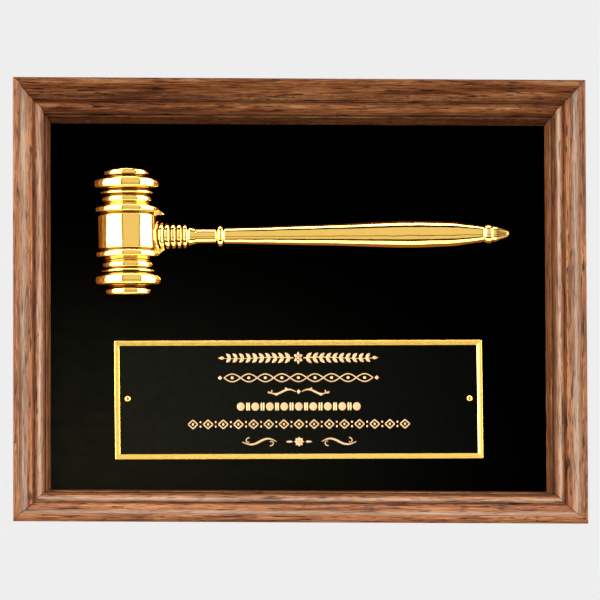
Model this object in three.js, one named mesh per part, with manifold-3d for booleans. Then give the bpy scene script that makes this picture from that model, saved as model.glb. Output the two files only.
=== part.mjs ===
// Framed gavel plaque: a mitred walnut frame round a velour-covered panel, with a
// half-round gold-plated gavel and an engraved name plate screwed to the panel.
// Millimetres, X to the right, Z up, the front faces -Y. The origin is the centre of
// the back cover's rear face, the face that hangs against a wall. "v" below is the
// height above that back plane, so y = -v. "u" runs inward from the frame's outer edge.
import * as THREE from "three";
import { mergeVertices } from "three/addons/utils/BufferGeometryUtils.js";
import Module from "manifold-3d";

const wasm = await Module();
wasm.setup();

// ---------------------------------------------------------------- driving sizes
const W = 381; // frame, outer width (15 in)
const H = 298.8; // frame, outer height
const T = 41; // front ridge of the moulding above the back plane
const FIT = 0.3; // clearance between touching pieces

const COVER_T = 1.4; // kraft-faced back cover
const RAIL_BACK = 1.6; // back face of the rails
const REBATE_U = 19.5; // rebate wall
const SIGHT_U = 25.9; // sight edge of the panel opening
const LIP_U = 23.4; // inner edge of the moulding's lip
const LIP_V = 20.5;
const PANEL_V = 9.5; // front of the velour
const VELOUR_T = 1.0;
const BOARD_T = 3.0; // hardboard panel
const MITRE_GAP = 0.07; // each side of the mitre plane

const GAVEL_X = -113.6; // head axis
const GAVEL_Z = 47.1; // handle axis where it meets the head
const HEAD_RISE = 2.7; // head centre above the handle axis
const GAVEL_TILT = 0.75; // degrees, handle end up
const RELIEF = 0.65; // the casting is a flattened half-round: depth over half-width

const PLATE_W = 244.6;
const PLATE_H = 80.6;
const PLATE_T = 1.0;
const PLATE_Z = -62.2;
const PLATE_SCREWS = [
  ["name_plate_screw_left", -113.6, -62.8],
  ["name_plate_screw_right", 113.6, -61.4],
];

const HANGER_X = W / 2 - 12.3; // straps sit on the back of the side rails
const HANGER_Z = 74; // hinge axis of the rings
const HINGE_Y = 2.75;
const WIRE_R = 1.2;
const RING_HALF = 7.2; // centreline half-width of the D-ring
const RING_LEG = 4;
const STRAP_W = 9.5;
const STRAP_T = 1.2;
const STRAP_L = 33;
const STRAP_SCREWS = [-17.6, -27.4]; // below the hinge

// ---------------------------------------------------------------- materials
const finish = (color, roughness, metalness) =>
  new THREE.MeshStandardMaterial({ color, roughness, metalness });
const walnut = finish(0x9a5c38, 0.42, 0);
const velour = finish(0x0b0b0a, 0.95, 0);
const hardboard = finish(0x5d412c, 0.8, 0);
const kraft = finish(0xa78660, 0.85, 0);
const gold = finish(0xf0c354, 0.12, 1);
const blackBrass = finish(0x14150f, 0.3, 0.4);
const brass = finish(0xe3b84c, 0.25, 1);
const steel = finish(0xb9bcc0, 0.3, 1);
const rubber = finish(0x26262a, 0.8, 0);

// ---------------------------------------------------------------- solids
function solid(geometry) {
  const g = geometry.index ? geometry.clone() : mergeVertices(geometry);
  g.deleteAttribute("normal");
  g.deleteAttribute("uv");
  const m = mergeVertices(g, 1e-4);
  const src = m.index.array;
  const tri = [];
  for (let i = 0; i < src.length; i += 3) {
    const [a, b, c] = [src[i], src[i + 1], src[i + 2]];
    if (a !== b && b !== c && a !== c) tri.push(a, b, c);
  }
  const make = (t) =>
    new wasm.Manifold(
      new wasm.Mesh({
        numProp: 3,
        vertProperties: new Float32Array(m.attributes.position.array),
        triVerts: new Uint32Array(t),
      }),
    );
  const made = make(tri);
  if (made.volume() >= 0) return made;
  for (let i = 0; i < tri.length; i += 3)
    [tri[i + 1], tri[i + 2]] = [tri[i + 2], tri[i + 1]];
  return make(tri);
}

function geometryOf(manifold) {
  const m = manifold.getMesh();
  const pos = new Float32Array(m.numVert * 3);
  for (let i = 0; i < m.numVert; i++)
    pos.set(
      m.vertProperties.subarray(i * m.numProp, i * m.numProp + 3),
      i * 3,
    );
  const g = new THREE.BufferGeometry();
  g.setAttribute("position", new THREE.BufferAttribute(pos, 3));
  g.setIndex(new THREE.BufferAttribute(new Uint32Array(m.triVerts), 1));
  g.computeVertexNormals();
  return g;
}

const root = new THREE.Group();
function add(name, geometry, material, parent = root) {
  const mesh = new THREE.Mesh(geometry, material);
  mesh.name = name;
  parent.add(mesh);
  return mesh;
}

// a box from its limits, with v counted towards the front
const slab = (x0, x1, v0, v1, z0, z1) =>
  new THREE.BoxGeometry(x1 - x0, v1 - v0, z1 - z0).translate(
    (x0 + x1) / 2,
    -(v0 + v1) / 2,
    (z0 + z1) / 2,
  );
// a rod along Y between two heights above the back plane
const rod = (r, v0, v1, x, z, sides = 14) =>
  new THREE.CylinderGeometry(r, r, v1 - v0, sides).translate(
    x,
    -(v0 + v1) / 2,
    z,
  );
// a turned piece about an axis along Y: profile is [radius, v] from the back up
const turned = (profile, x, z, sides = 24) =>
  new THREE.LatheGeometry(
    profile.map(([r, v]) => new THREE.Vector2(r, v)),
    sides,
  )
    .rotateX(Math.PI)
    .translate(x, 0, z);
// a flat shape in X and Z, as thick as v0 to v1
function plateOf(shape, v0, v1, curve = 6) {
  const g = new THREE.ExtrudeGeometry(shape, {
    depth: v1 - v0,
    bevelEnabled: false,
    curveSegments: curve,
  });
  return g.rotateX(Math.PI / 2).translate(0, -v0, 0);
}
function roundRect(w, h, r, cx = 0, cz = 0) {
  const s = new THREE.Shape();
  const [x0, x1, z0, z1] = [cx - w / 2, cx + w / 2, cz - h / 2, cz + h / 2];
  s.moveTo(x0 + r, z0);
  s.lineTo(x1 - r, z0);
  s.absarc(x1 - r, z0 + r, r, -Math.PI / 2, 0, false);
  s.lineTo(x1, z1 - r);
  s.absarc(x1 - r, z1 - r, r, 0, Math.PI / 2, false);
  s.lineTo(x0 + r, z1);
  s.absarc(x0 + r, z1 - r, r, Math.PI / 2, Math.PI, false);
  s.lineTo(x0, z0 + r);
  s.absarc(x0 + r, z0 + r, r, Math.PI, 1.5 * Math.PI, false);
  return s;
}
// a cross recess cut into a screw head
const cross = (s, x, z, v0, v1, arm, width) =>
  s
    .subtract(
      solid(slab(x - arm, x + arm, v0, v1, z - width / 2, z + width / 2)),
    )
    .subtract(
      solid(slab(x - width / 2, x + width / 2, v0, v1, z - arm, z + arm)),
    );

// ---------------------------------------------------------------- moulding
// Section of the moulding: back, rebate, sight wall, lip, bead, cove, ridge and the
// back-cut outer side with its short flat.
const PROFILE = [
  [6.8, RAIL_BACK],
  [REBATE_U, RAIL_BACK],
  [REBATE_U, PANEL_V + 0.1],
  [SIGHT_U, PANEL_V + 0.1],
  [LIP_U + 0.1, LIP_V - 0.7],
  [LIP_U - 0.3, LIP_V],
  [LIP_U - 1.1, LIP_V + 0.5],
  [LIP_U - 1.8, LIP_V + 0.5],
  [21.2, LIP_V + 1.0],
  [20.9, 23.2],
  [20.9, 25.0],
  [20.3, 27.2],
  [19.2, 28.8],
  [17.8, 29.7],
  [16.4, 29.8],
  [15.4, 29.1],
  [14.9, 28.2],
  [14.3, 27.9],
  [13.7, 28.2],
  [13.4, 29.5],
  [12.4, 29.8],
  [10.6, 30.6],
  [8.8, 31.9],
  [7.2, 33.6],
  [5.9, 35.7],
  [5.0, 38.0],
  [4.4, 39.9],
  [3.8, T - 0.35],
  [3.0, T],
  [1.9, T - 0.2],
  [0.9, T - 1.0],
  [0.25, T - 2.2],
  [0, T - 3.4],
  [0, T - 6.4],
];
const toward = Math.PI / 2;
function rail(length) {
  const s = new THREE.Shape();
  PROFILE.forEach(([u, v], i) => (i ? s.lineTo(u, v) : s.moveTo(u, v)));
  s.closePath();
  const g = new THREE.ExtrudeGeometry(s, {
    depth: length,
    bevelEnabled: false,
    steps: 1,
  });
  // section x is u, y is v, the extrusion runs along z: cut both ends at 45 degrees
  const p = g.attributes.position;
  for (let i = 0; i < p.count; i++) {
    const [u, v, w] = [p.getX(i), p.getY(i), p.getZ(i)];
    const end = w > length / 2 ? 1 : -1;
    const along = end * (length / 2 - u - MITRE_GAP * Math.SQRT2);
    // a bottom rail: runs along X, u goes up, the front faces -Y
    p.setXYZ(i, along, -v, u);
  }
  return solid(g);
}
const turnY = (m, deg) => m.rotate([0, deg, 0]);
const rails = {
  bottom_rail: rail(W).translate([0, 0, -H / 2]),
  top_rail: turnY(rail(W), 180).translate([0, 0, H / 2]),
  left_rail: turnY(rail(H), 90).translate([-W / 2, 0, 0]),
  right_rail: turnY(rail(H), -90).translate([W / 2, 0, 0]),
};
const cutRail = (names, tool) =>
  names.forEach((n) => (rails[n] = rails[n].subtract(tool)));

// corner fasteners: a steel angle pressed into the back of each mitre, one leg in each rail
const NAIL_AT = 9.4;
const NAIL_LEG = 7;
const NAIL_T = 0.6;
for (const [name, sx, sz, pair] of [
  ["corner_v_nail_top_left", -1, 1, ["top_rail", "left_rail"]],
  ["corner_v_nail_top_right", 1, 1, ["top_rail", "right_rail"]],
  ["corner_v_nail_bottom_left", -1, -1, ["bottom_rail", "left_rail"]],
  ["corner_v_nail_bottom_right", 1, -1, ["bottom_rail", "right_rail"]],
]) {
  const angle = (grow, v0, v1) => {
    const a = NAIL_AT - grow;
    const b = NAIL_AT + NAIL_T + grow;
    const c = NAIL_AT + NAIL_LEG + grow;
    const s = new THREE.Shape();
    [
      [a, a],
      [c, a],
      [c, b],
      [b, b],
      [b, c],
      [a, c],
    ].forEach(([x, z], i) => {
      const q = [sx * (W / 2 - x), sz * (H / 2 - z)];
      i ? s.lineTo(...q) : s.moveTo(...q);
    });
    s.closePath();
    return plateOf(s, v0, v1);
  };
  add(name, angle(0, 1.9, 9.9), steel);
  cutRail(pair, solid(angle(FIT, 0, 10.2)));
}

// framing points: flat steel points driven into the rebate wall behind the panel
const POINT_V = 4.5;
const POINT_T = 0.6;
const pointAt = [
  ["framing_point_top_left", "top_rail", -95, H / 2, 0, -1],
  ["framing_point_top_right", "top_rail", 95, H / 2, 0, -1],
  ["framing_point_bottom_left", "bottom_rail", -95, -H / 2, 0, 1],
  ["framing_point_bottom_right", "bottom_rail", 95, -H / 2, 0, 1],
  ["framing_point_left_upper", "left_rail", -W / 2, 92, 1, 0],
  ["framing_point_left_lower", "left_rail", -W / 2, -78, 1, 0],
  ["framing_point_right_upper", "right_rail", W / 2, 92, -1, 0],
  ["framing_point_right_lower", "right_rail", W / 2, -78, -1, 0],
];
for (const [name, host, x, z, dx, dz] of pointAt) {
  // a shield shape: pointed in the wood, square over the board
  const blade = (grow, v0, v1) => {
    const pts = [
      [12.6 - grow * 1.4, 0],
      [15.4 - grow, 4 + grow],
      [28 + grow, 4 + grow],
      [28 + grow, -4 - grow],
      [15.4 - grow, -4 - grow],
    ];
    const s = new THREE.Shape();
    pts.forEach(([u, w], i) => {
      const q = [x + dx * u + (dz ? w : 0), z + dz * u + (dx ? w : 0)];
      i ? s.lineTo(...q) : s.moveTo(...q);
    });
    s.closePath();
    return plateOf(s, v0, v1);
  };
  add(name, blade(0, POINT_V, POINT_V + POINT_T), steel);
  cutRail([host], solid(blade(FIT, POINT_V - FIT, POINT_V + POINT_T + FIT)));
}

// ---------------------------------------------------------------- panel and back
const gavelScrews = [
  ["head_upper", 0, HEAD_RISE + 9.5],
  ["head_lower", 0, HEAD_RISE - 9.5],
  ["handle_near", 112, 0],
  ["handle_far", 190, 0],
].map(([n, t, dz]) => {
  const a = THREE.MathUtils.degToRad(GAVEL_TILT);
  return [
    n,
    GAVEL_X + t * Math.cos(a) - dz * Math.sin(a),
    GAVEL_Z + t * Math.sin(a) + dz * Math.cos(a),
    t,
    dz,
  ];
});
const SCREW_R = 1.75;

const BOARD_U = 21.2;
const BOARD_BACK = PANEL_V - VELOUR_T - 0.1 - BOARD_T;
let board = solid(
  slab(
    -W / 2 + BOARD_U,
    W / 2 - BOARD_U,
    BOARD_BACK,
    BOARD_BACK + BOARD_T,
    -H / 2 + BOARD_U,
    H / 2 - BOARD_U,
  ),
);
// the velour is stretched over the front and turned over the board's four edges
const VEL_U = 20.0;
let velourSheet = solid(
  slab(
    -W / 2 + VEL_U,
    W / 2 - VEL_U,
    BOARD_BACK + 0.2,
    PANEL_V,
    -H / 2 + VEL_U,
    H / 2 - VEL_U,
  ),
).subtract(
  solid(
    slab(
      -W / 2 + VEL_U + 0.9,
      W / 2 - VEL_U - 0.9,
      0,
      PANEL_V - VELOUR_T,
      -H / 2 + VEL_U + 0.9,
      H / 2 - VEL_U - 0.9,
    ),
  ),
);
for (const [, x, z] of gavelScrews) {
  board = board.subtract(solid(rod(SCREW_R + FIT, 0, 30, x, z)));
  velourSheet = velourSheet.subtract(solid(rod(SCREW_R + FIT, 0, 30, x, z)));
}
for (const [, x, z] of PLATE_SCREWS) {
  board = board.subtract(solid(rod(1.3, 5.9, 30, x, z, 14)));
  velourSheet = velourSheet.subtract(solid(rod(1.3, 5.9, 30, x, z, 14)));
}

let cover = solid(
  slab(
    -W / 2 + 7.6,
    W / 2 - 7.6,
    0,
    COVER_T,
    -H / 2 + 7.6,
    H / 2 - 7.6,
  ),
);
// a crease pressed round the sheet sets the clear middle apart from the border that
// carries the hangers and bumpers
const CREASE_X = 167.5;
const CREASE_Z = 137;
for (const s of [-1, 1]) {
  cover = cover
    .subtract(
      solid(
        slab(
          s * CREASE_X - 0.3,
          s * CREASE_X + 0.3,
          -1,
          0.4,
          -CREASE_Z - 0.3,
          CREASE_Z + 0.3,
        ),
      ),
    )
    .subtract(
      solid(
        slab(
          -CREASE_X - 0.3,
          CREASE_X + 0.3,
          -1,
          0.4,
          s * CREASE_Z - 0.3,
          s * CREASE_Z + 0.3,
        ),
      ),
    );
}

// ---------------------------------------------------------------- gavel
// A flattened half-round casting, flat at the back. The head is turned about the
// vertical, the handle about the horizontal, and both are shallower than they are wide.
// Profiles are [half-width, distance from the centre].
const HEAD_HALF = [
  [19.15, 0],
  [19.15, 11.3],
  [18.5, 11.8],
  [18.5, 12.6],
  [19.9, 13.1],
  [20.7, 14.0],
  [20.9, 15.3],
  [20.7, 16.6],
  [19.7, 17.5],
  [15.2, 17.8],
  [15.6, 18.9],
  [15.0, 20.1],
  [16.1, 20.7],
  [16.5, 22.2],
  [16.1, 23.7],
  [15.0, 24.5],
  [15.0, 25.4],
  [17.2, 25.7],
  [17.6, 26.5],
  [17.2, 27.3],
  [16.0, 27.7],
  [16.0, 28.8],
  [19.2, 29.3],
  [20.7, 30.4],
  [21.3, 31.8],
  [21.3, 33.2],
  [20.8, 34.6],
  [19.4, 35.7],
  [17.2, 36.2],
  [13.5, 36.4],
  [13.5, 37.0],
  [14.4, 37.4],
  [14.6, 38.6],
  [14.1, 40.3],
  [11.6, 41.8],
  [7.0, 42.7],
  [0, 43.0],
];
const both = (half) => [
  ...half
    .slice(1)
    .reverse()
    .map(([r, d]) => [r, -d]),
  ...half,
];
// the front half of a turned piece whose axis lies in the plane of the velour
function halfTurned(profile, sides) {
  const full = solid(
    new THREE.LatheGeometry(
      profile.map(([r, d]) => new THREE.Vector2(r, d)),
      sides,
    ).translate(0, 0, 0),
  );
  return full; // axis along Y; the caller turns it and cuts the back off
}
const frontOnly = solid(slab(-400, 400, PANEL_V + 0.1, 60, -300, 300));

const headFull = halfTurned(both(HEAD_HALF), 28)
  .rotate([90, 0, 0])
  .scale([1, RELIEF, 1])
  .translate([0, -PANEL_V, HEAD_RISE]);
// what the handle has to clear: the drum and its inner flanges, a little oversize
const headClear = halfTurned(
  both([
    [19.15 + FIT, 0],
    [19.15 + FIT, 11.2],
    [18.9, 11.6],
    [18.9, 12.0],
    [21.25, 12.6],
    [21.25, 18.2],
    [0, 18.2],
  ]),
  36,
)
  .rotate([90, 0, 0])
  .scale([1, RELIEF, 1])
  .translate([0, -PANEL_V, HEAD_RISE]);

const HANDLE = [
  [0, 14.5],
  [9.3, 14.5],
  [9.3, 19.3],
  [9.9, 19.9],
  [9.9, 20.8],
  [9.2, 21.3],
];
for (let i = 0; i < 5; i++) {
  const r = 8.9 - 0.12 * i;
  const t = 21.6 + 3.72 * i;
  HANDLE.push([r - 1.2, t], [r - 0.15, t + 0.8], [r, t + 1.85], [r - 0.15, t + 2.9]);
}
HANDLE.push(
  [7.0, 40.3],
  [6.4, 41.0],
  [5.5, 45.0],
  [4.9, 46.2],
  [4.8, 59.0],
  [5.8, 59.4],
  [7.1, 60.3],
  [7.5, 61.8],
  [7.1, 63.3],
  [5.8, 64.2],
  [5.4, 65.0],
  [5.6, 75.0],
  [6.15, 95.0],
  [6.8, 115.0],
  [7.5, 141.0],
  [8.4, 161.0],
  [9.2, 181.0],
  [9.25, 192.0],
  [9.05, 201.0],
  [8.65, 210.0],
  [8.2, 219.0],
  [7.1, 225.0],
  [6.3, 231.0],
  [5.4, 236.8],
  [5.5, 237.6],
  [6.3, 238.6],
  [6.6, 240.5],
  [6.3, 242.4],
  [5.5, 243.4],
  [5.3, 244.5],
  [5.2, 248.0],
  [4.6, 251.6],
  [2.9, 254.3],
  [0, 255.0],
);
const handleFull = halfTurned(HANDLE, 20)
  .rotate([0, 0, -90])
  .scale([1, RELIEF, 1])
  .translate([0, -PANEL_V, 0]);

// two low ribs on the handle side of the drum, from its inner flanges outward
const RIB_V = 13.6;
function rib(sign) {
  const s = new THREE.Shape();
  [
    [17, 10.6],
    [19.6, 11.2],
    [24.8, 11.4],
    [24.9, 12.0],
    [20.7, 15.6],
    [17, 15.6],
  ].forEach(([t, z], i) => {
    const q = [t, HEAD_RISE + sign * z];
    i ? s.lineTo(...q) : s.moveTo(...q);
  });
  s.closePath();
  return solid(plateOf(s, PANEL_V + 0.1, RIB_V));
}

const TENON_R = 6;
const tenon = (r, t0, t1) =>
  solid(
    new THREE.CylinderGeometry(r, r, t1 - t0, 24)
      .rotateZ(Math.PI / 2)
      .scale(1, RELIEF, 1)
      .translate((t0 + t1) / 2, -PANEL_V, 0),
  );
let head = headFull
  .intersect(frontOnly)
  .add(rib(1).subtract(tenon(9.9 + FIT, 18, 40)))
  .add(rib(-1).subtract(tenon(9.9 + FIT, 18, 40)))
  .subtract(tenon(TENON_R + FIT, 7.7, 30));
let handle = handleFull
  .subtract(headClear)
  .add(tenon(TENON_R, 8, 21))
  .intersect(frontOnly);

// the head is thick enough for a longer screw than the handle
const screwTip = (name) => (name.startsWith("head") ? 15.5 : 12.2);
for (const [name, , , t, dz] of gavelScrews) {
  const bore = solid(rod(SCREW_R + FIT, 0, screwTip(name) + FIT, t, dz));
  if (name.startsWith("head")) head = head.subtract(bore);
  else handle = handle.subtract(bore);
}

const gavel = new THREE.Group();
gavel.position.set(GAVEL_X, 0, GAVEL_Z);
gavel.rotation.y = -THREE.MathUtils.degToRad(GAVEL_TILT);
root.add(gavel);
add("gavel_head", geometryOf(head), gold, gavel);
add("gavel_handle", geometryOf(handle), gold, gavel);

// the screws that hold the gavel, from behind, each with a washer on the board
const WASHER_T = 0.8;
for (const [name, x, z] of gavelScrews) {
  const w1 = BOARD_BACK - 0.1;
  const w0 = w1 - WASHER_T;
  add(
    "gavel_washer_" + name,
    geometryOf(
      solid(rod(4.5, w0, w1, x, z, 16)).subtract(
        solid(rod(SCREW_R + FIT, w0 - 1, w1 + 1, x, z)),
      ),
    ),
    steel,
  );
  const h1 = w0 - 0.1;
  const screw = solid(
    turned(
      [
        [0, h1 - 2.1],
        [2.0, h1 - 2.0],
        [3.1, h1 - 1.5],
        [3.5, h1 - 0.7],
        [3.5, h1],
        [SCREW_R, h1],
        [SCREW_R, screwTip(name) - 0.6],
        [SCREW_R - 0.6, screwTip(name)],
        [0, screwTip(name)],
      ],
      x,
      z,
      14,
    ),
  );
  add(
    "gavel_screw_" + name,
    geometryOf(cross(screw, x, z, h1 - 3, h1 - 1.1, 1.6, 0.7)),
    steel,
  );
}

// ---------------------------------------------------------------- name plate
const PLATE_V = PANEL_V + 0.1;
let plate = solid(
  plateOf(roundRect(PLATE_W, PLATE_H, 1.2, 0.1, PLATE_Z), PLATE_V, PLATE_V + PLATE_T, 4),
);
for (const [name, x, z] of PLATE_SCREWS) {
  plate = plate.subtract(solid(rod(1.3, 0, 30, x, z, 14)));
  const h0 = PLATE_V + PLATE_T + 0.1;
  const pin = solid(
    turned(
      [
        [0, 6.2],
        [0.5, 6.4],
        [1.0, 7.2],
        [1.0, h0],
        [2.3, h0],
        [2.3, h0 + 0.45],
        [2.05, h0 + 1.05],
        [1.5, h0 + 1.5],
        [0.7, h0 + 1.75],
        [0, h0 + 1.8],
      ],
      x,
      z,
      16,
    ),
  );
  add(name, geometryOf(cross(pin, x, z, h0 + 0.8, h0 + 3, 1.15, 0.5)), brass);
}
add("name_plate", geometryOf(plate), blackBrass);

// ---------------------------------------------------------------- D-ring hangers
// Each hanger is a steel strap rolled round the straight bar of a D-ring, screwed to
// the back of a side rail. The ring hangs down over the strap and swings up to a hook.
for (const [side, sx, host] of [
  ["left", -1, "left_rail"],
  ["right", 1, "right_rail"],
]) {
  const x = sx * HANGER_X;
  // the rolled knuckle, seen along the hinge axis
  const knuckle = new THREE.Shape();
  knuckle.absarc(0, 0, WIRE_R + FIT + STRAP_T, 0, Math.PI * 2, false);
  const eye = new THREE.Path();
  eye.absarc(0, 0, WIRE_R + FIT, 0, Math.PI * 2, true);
  knuckle.holes.push(eye);
  let strap = solid(
    new THREE.ExtrudeGeometry(knuckle, {
      depth: STRAP_W,
      bevelEnabled: false,
      curveSegments: 16,
    })
      .translate(0, 0, -STRAP_W / 2)
      .rotateY(Math.PI / 2)
      .translate(x, HINGE_Y, HANGER_Z),
  );
  const tongue = roundRect(
    STRAP_W,
    STRAP_L,
    4.2,
    x,
    HANGER_Z - STRAP_L / 2,
  );
  strap = strap.add(
    solid(plateOf(tongue, -0.05 - STRAP_T, -0.05, 8)).intersect(
      solid(slab(x - 20, x + 20, -9, 0, HANGER_Z - 60, HANGER_Z - 0.05)),
    ),
  );
  // square shoulders where the tongue meets the roll
  strap = strap.add(
    solid(
      slab(
        x - STRAP_W / 2,
        x + STRAP_W / 2,
        -0.05 - STRAP_T,
        -0.05,
        HANGER_Z - 8,
        HANGER_Z - 0.02,
      ),
    ),
  );
  strap = strap.subtract(
    solid(
      new THREE.CylinderGeometry(WIRE_R + FIT, WIRE_R + FIT, STRAP_W + 4, 24)
        .rotateZ(Math.PI / 2)
        .translate(x, HINGE_Y, HANGER_Z),
    ),
  );
  STRAP_SCREWS.forEach((dz, i) => {
    const z = HANGER_Z + dz;
    const hole = solid(rod(1.8, -20, 14.4, x, z, 18));
    strap = strap.subtract(hole);
    cover = cover.subtract(hole);
    cutRail([host], hole);
    const h0 = -(0.05 + STRAP_T + 0.1); // v of the underside of the head
    const screw = solid(
      turned(
        [
          [0, h0 - 1.9],
          [1.6, h0 - 1.8],
          [2.6, h0 - 1.35],
          [3.1, h0 - 0.55],
          [3.1, h0],
          [1.5, h0],
          [1.5, 11.8],
          [0.3, 14.0],
          [0, 14.0],
        ],
        x,
        z,
        14,
      ),
    );
    add(
      "hanger_strap_screw_" + side + (i ? "_lower" : "_upper"),
      geometryOf(cross(screw, x, z, h0 - 3, h0 - 0.9, 1.5, 0.7)),
      steel,
    );
  });
  add("hanger_strap_" + side, geometryOf(strap), steel);

  // the D-ring: straight bar, two short legs and a half-round bow
  const bar = new THREE.CylinderGeometry(WIRE_R, WIRE_R, 2 * RING_HALF, 10)
    .rotateZ(Math.PI / 2)
    .translate(x, HINGE_Y, HANGER_Z);
  let ring = solid(bar);
  for (const s of [-1, 1]) {
    ring = ring
      .add(
        solid(
          new THREE.SphereGeometry(WIRE_R, 10, 6).translate(
            x + s * RING_HALF,
            HINGE_Y,
            HANGER_Z,
          ),
        ),
      )
      .add(
        solid(
          new THREE.CylinderGeometry(WIRE_R, WIRE_R, RING_LEG, 10)
            .rotateX(Math.PI / 2)
            .translate(x + s * RING_HALF, HINGE_Y, HANGER_Z - RING_LEG / 2),
        ),
      );
  }
  const bow = solid(
    new THREE.TorusGeometry(RING_HALF, WIRE_R, 10, 28)
      .rotateX(Math.PI / 2)
      .translate(x, HINGE_Y, HANGER_Z - RING_LEG),
  ).intersect(
    solid(
      slab(x - 20, x + 20, -20, 20, HANGER_Z - 30, HANGER_Z - RING_LEG + 0.05),
    ),
  );
  ring = ring.add(bow);
  add("hanger_ring_" + side, geometryOf(ring), steel);
}
add("back_cover", geometryOf(cover), kraft);
add("backing_board", geometryOf(board), hardboard);
add("velour_cover", geometryOf(velourSheet), velour);
for (const [name, m] of Object.entries(rails)) add(name, geometryOf(m), walnut);

// ---------------------------------------------------------------- wall bumpers
for (const [side, sx] of [
  ["left", -1],
  ["right", 1],
])
  add(
    "wall_bumper_" + side,
    geometryOf(
      solid(
        turned(
          [
            [0, -3.2],
            [2.6, -3.1],
            [4.2, -2.5],
            [5.0, -1.4],
            [5.2, -0.1],
            [0, -0.1],
          ],
          sx * (W / 2 - 13.2),
          -H / 2 + 13.2,
          16,
        ),
      ),
    ),
    rubber,
  );

export default root;
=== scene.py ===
"""Framed award plaque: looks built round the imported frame. Metres, +Z up, the front faces -Y."""

import math

import bmesh
import bpy
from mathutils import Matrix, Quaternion, Vector


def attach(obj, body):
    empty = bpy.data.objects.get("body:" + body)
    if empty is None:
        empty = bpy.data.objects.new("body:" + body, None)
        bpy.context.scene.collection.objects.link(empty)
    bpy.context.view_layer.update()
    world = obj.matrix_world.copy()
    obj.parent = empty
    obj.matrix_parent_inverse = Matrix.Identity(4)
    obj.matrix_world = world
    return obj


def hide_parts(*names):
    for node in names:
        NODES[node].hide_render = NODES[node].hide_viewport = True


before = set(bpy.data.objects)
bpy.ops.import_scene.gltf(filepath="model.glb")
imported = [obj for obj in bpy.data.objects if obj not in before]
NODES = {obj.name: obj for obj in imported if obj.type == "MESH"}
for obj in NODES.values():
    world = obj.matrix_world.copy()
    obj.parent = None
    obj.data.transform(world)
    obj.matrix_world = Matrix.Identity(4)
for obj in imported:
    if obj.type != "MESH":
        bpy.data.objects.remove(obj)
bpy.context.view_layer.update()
scene = bpy.context.scene
MM = 0.001

# ------------------------------------------------------------------ camera
AZ, EL, DIST = math.radians(-2.8), math.radians(-10.3), 12.0
ROLL = 0.0038
AIM = Vector((-0.0003, -0.041, -0.0009))
back = Vector((math.sin(AZ) * math.cos(EL), -math.cos(AZ) * math.cos(EL), math.sin(EL)))
cam_data = bpy.data.cameras.new("camera")
cam_data.sensor_width = 36.0
cam_data.lens = 1086.2
cam_data.clip_start = 1.0
cam_data.clip_end = 80.0
cam = bpy.data.objects.new("camera", cam_data)
scene.collection.objects.link(cam)
cam.location = AIM + back * DIST
cam.rotation_mode = "QUATERNION"
cam.rotation_quaternion = (-back).to_track_quat("-Z", "Y") @ Quaternion((0, 0, 1), -ROLL)
scene.camera = cam
scene.view_settings.view_transform = "Standard"
scene.view_settings.look = "None"
scene.view_settings.exposure = 0.0
scene.view_settings.gamma = 1.0


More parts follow.
